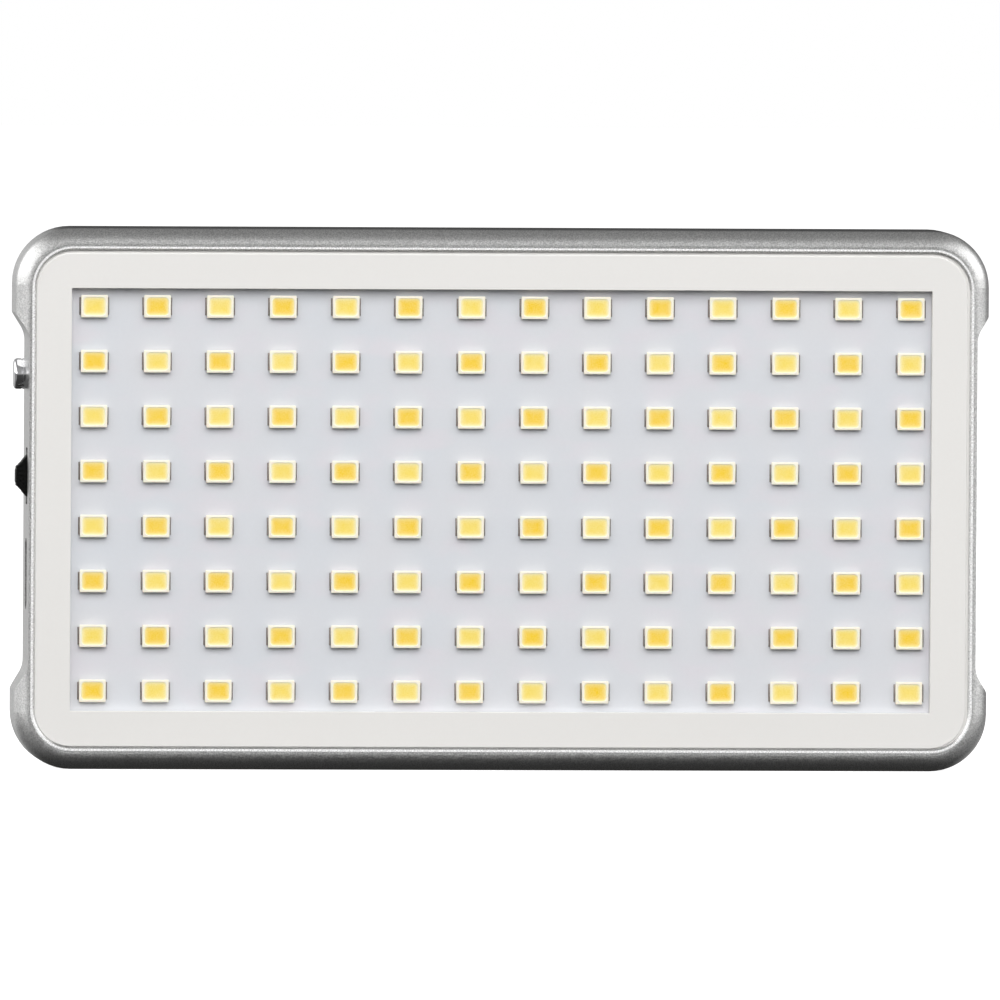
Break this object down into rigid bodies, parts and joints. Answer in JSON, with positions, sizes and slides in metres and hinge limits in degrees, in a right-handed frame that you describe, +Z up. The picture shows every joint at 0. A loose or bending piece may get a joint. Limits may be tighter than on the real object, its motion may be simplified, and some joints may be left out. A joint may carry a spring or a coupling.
{
  "type": "pocket LED panel light",
  "caption": "Slim pocket LED panel light: aluminium frame, white bezel round a grid of bare LEDs, push button and jog lever on one side, tripod thread below.",
  "frame": {"origin": "middle of the lower long edge that the panel stands on, at mid width and mid thickness", "axes": "+X to the right as the lit face is looked at, -Y out of the lit face, +Z up"},
  "size_m": [0.128, 0.012, 0.071],
  "materials": {
    "frame_metal": "fine bead-blasted, clear anodised",
    "cover_metal": "fine bead-blasted, clear anodised",
    "white_plastic": "satin white",
    "black_tape": "adhesive tape",
    "board_white": "white solder mask on aluminium",
    "led_white": "moulded white resin",
    "contact_metal": "tinned",
    "phosphor_warm": "silicone with warm phosphor",
    "phosphor_cool": "silicone with cool phosphor",
    "dark_steel": "black oxide",
    "amber_film": "polyimide film",
    "cell_foil": "laminated foil",
    "black_foam": "closed-cell foam",
    "green_board": "green solder mask",
    "red_wire": "silicone sleeve",
    "black_wire": "silicone sleeve",
    "white_wire": "silicone sleeve",
    "cream_plastic": "nylon",
    "black_resin": "moulded epoxy",
    "ferrite": "ferrite",
    "tan_ceramic": "ceramic",
    "solder": "solder",
    "display_glass": "display glass, off",
    "black_window": "polished black acrylic",
    "socket_steel": "stamped stainless",
    "black_plastic": "moulded",
    "grey_plastic": "moulded",
    "lever_black": "lightly textured",
    "chrome": "bright plated",
    "pin_steel": "ground",
    "insert_steel": "plain"
  },
  "bodies": {
    "light": {"housing": "frame_metal", "rear_cover": "cover_metal", "front_bezel": "white_plastic", "bezel_tape": "black_tape", "led_board": "board_white", "led_packages": "led_white", "led_contacts": "contact_metal", "phosphor_warm": "phosphor_warm", "phosphor_cool": "phosphor_cool", "board_screws": "dark_steel", "insulating_film": "amber_film", "battery_cell": "cell_foil", "battery_pad": "black_foam", "battery_board": "green_board", "battery_lead_red": "red_wire", "battery_lead_black": "black_wire", "battery_plug": "cream_plastic", "battery_header": "cream_plastic", "control_board": "green_board", "control_screws": "dark_steel", "controller_chip": "black_resin", "power_chips": "black_resin", "inductors": "ferrite", "capacitors": "tan_ceramic", "led_header": "cream_plastic", "led_plug": "cream_plastic", "led_leads": "white_wire", "solder_joints": "solder", "display_module": "display_glass", "display_flex": "amber_film", "display_gasket": "black_foam", "display_window": "black_window", "usb_shell": "socket_steel", "usb_insert": "black_plastic", "button_switch": "black_plastic", "jog_switch_case": "black_plastic", "tripod_insert": "insert_steel", "cover_screws": "dark_steel"},
    "power_key": {"power_button": "chrome", "button_plunger": "black_plastic"},
    "jog_slide": {"jog_carrier": "grey_plastic", "jog_pin": "pin_steel"},
    "jog_arm": {"jog_lever": "lever_black"}
  },
  "joints": [
    {"name": "power_press", "type": "slide", "parent": "light", "child": "power_key", "axis": [1, 0, 0], "range_m": [0, 0.00035], "stiffness_N_per_m": 3000, "springref_m": -0.0002},
    {"name": "jog_press", "type": "slide", "parent": "light", "child": "jog_slide", "axis": [1, 0, 0], "range_m": [0, 0.0003], "stiffness_N_per_m": 3500, "springref_m": -0.0002},
    {"name": "jog_tilt", "type": "hinge", "parent": "jog_slide", "child": "jog_arm", "pos_m": [-0.0576, -0.0005, 0.0383], "axis": [0, 1, 0], "range_deg": [-8, 8], "stiffness_Nm_per_rad": 0.04}
  ]
}
